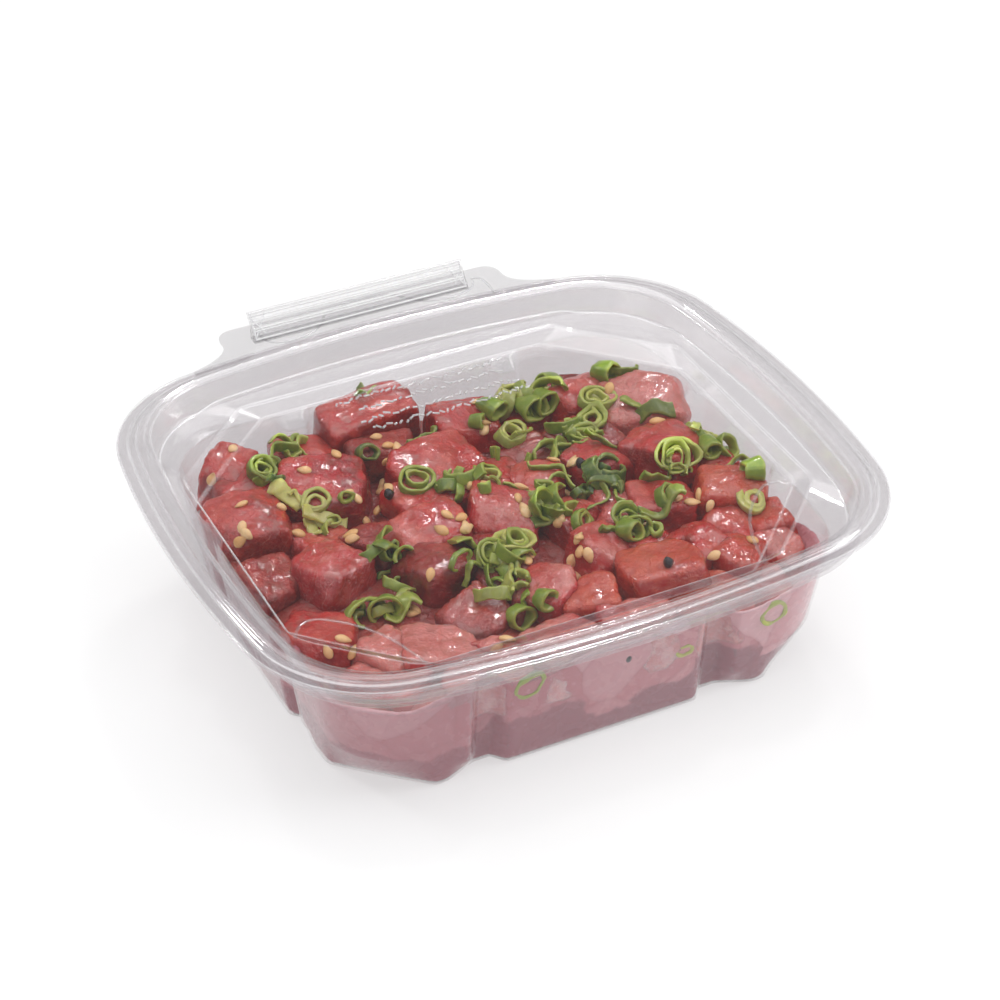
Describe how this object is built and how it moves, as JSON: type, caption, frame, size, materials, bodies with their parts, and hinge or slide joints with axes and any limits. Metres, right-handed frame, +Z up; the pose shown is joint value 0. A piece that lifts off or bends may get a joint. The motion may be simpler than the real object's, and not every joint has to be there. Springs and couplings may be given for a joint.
{
  "type": "tuna poke bowl",
  "caption": "Diced raw tuna with sliced scallion and sesame seeds in a clear hinged deli tray, its domed-rim lid snapped shut.",
  "frame": {"origin": "centre of the tray's flat base", "axes": "+X along the long sides, +Y towards the hinge and its tear strip, +Z up"},
  "size_m": [0.184, 0.1745, 0.0554],
  "materials": {
    "clear_tray": "clear glossy thermoformed sheet",
    "clear_lid": "clear glossy thermoformed sheet",
    "clear_strip": "clear glossy folded sheet",
    "tuna_red": "wet raw tuna, dusty red",
    "tuna_pink": "wet raw tuna, milky pink",
    "tuna_peach": "wet raw tuna, peach",
    "tuna_deep": "wet raw tuna, deep red"
  },
  "bodies": {
    "root": {"tray": "clear_tray", "lid": "clear_lid", "tear_strip": "clear_strip", "tuna_back_left_big": "tuna_red", "tuna_right_rise": "tuna_red", "tuna_right_back_flat": "tuna_pink", "tuna_back_right": "tuna_red", "tuna_middle_ridge": "tuna_red", "tuna_front_right_smooth": "tuna_peach", "tuna_left_big": "tuna_red", "tuna_left_round": "tuna_pink", "tuna_right_peach": "tuna_peach", "tuna_front_lilac": "tuna_pink", "tuna_left_back": "tuna_red", "tuna_middle_dark": "tuna_deep", "tuna_middle": "tuna_pink", "tuna_middle_back": "tuna_red", "tuna_middle_flat": "tuna_red", "tuna_right_middle": "tuna_red", "tuna_middle_right": "tuna_red", "tuna_right_front": "tuna_red", "tuna_right_low": "tuna_peach", "tuna_centre_mauve": "tuna_pink", "tuna_right_inner": "tuna_red", "tuna_front_orange": "tuna_peach", "tuna_left_corner": "tuna_red", "tuna_left_upper": "tuna_red", "tuna_back_left_low": "tuna_red", "tuna_deep_red": "tuna_deep", "tuna_left_low": "tuna_deep", "tuna_left_front": "tuna_red", "tuna_front_dark": "tuna_deep", "tuna_front_left": "tuna_red", "tuna_front_left_orange": "tuna_peach", "tuna_right_wall": "tuna_peach", "tuna_right_corner": "tuna_pink", "tuna_left_behind": "tuna_deep", "tuna_centre_low": "tuna_deep", "tuna_right_centre_low": "tuna_red", "tuna_back_middle_low": "tuna_red", "tuna_right_side_low": "tuna_red", "tuna_front_a": "tuna_pink", "tuna_front_b": "tuna_pink", "tuna_front_c": "tuna_pink", "tuna_front_d": "tuna_pink", "tuna_front_e": "tuna_peach", "tuna_front_f": "tuna_pink", "tuna_middle_under": "tuna_red", "tuna_back_gap": "tuna_deep", "tuna_right_dark": "tuna_deep", "tuna_centre_back": "tuna_red", "tuna_left_gap": "tuna_red", "tuna_centre_gap": "tuna_deep", "tuna_right_gap": "tuna_pink", "tuna_front_gap": "tuna_red", "tuna_right_gap_low": "tuna_red", "tuna_left_dark": "tuna_deep", "tuna_bed": "tuna_pink"}
  },
  "joints": []
}
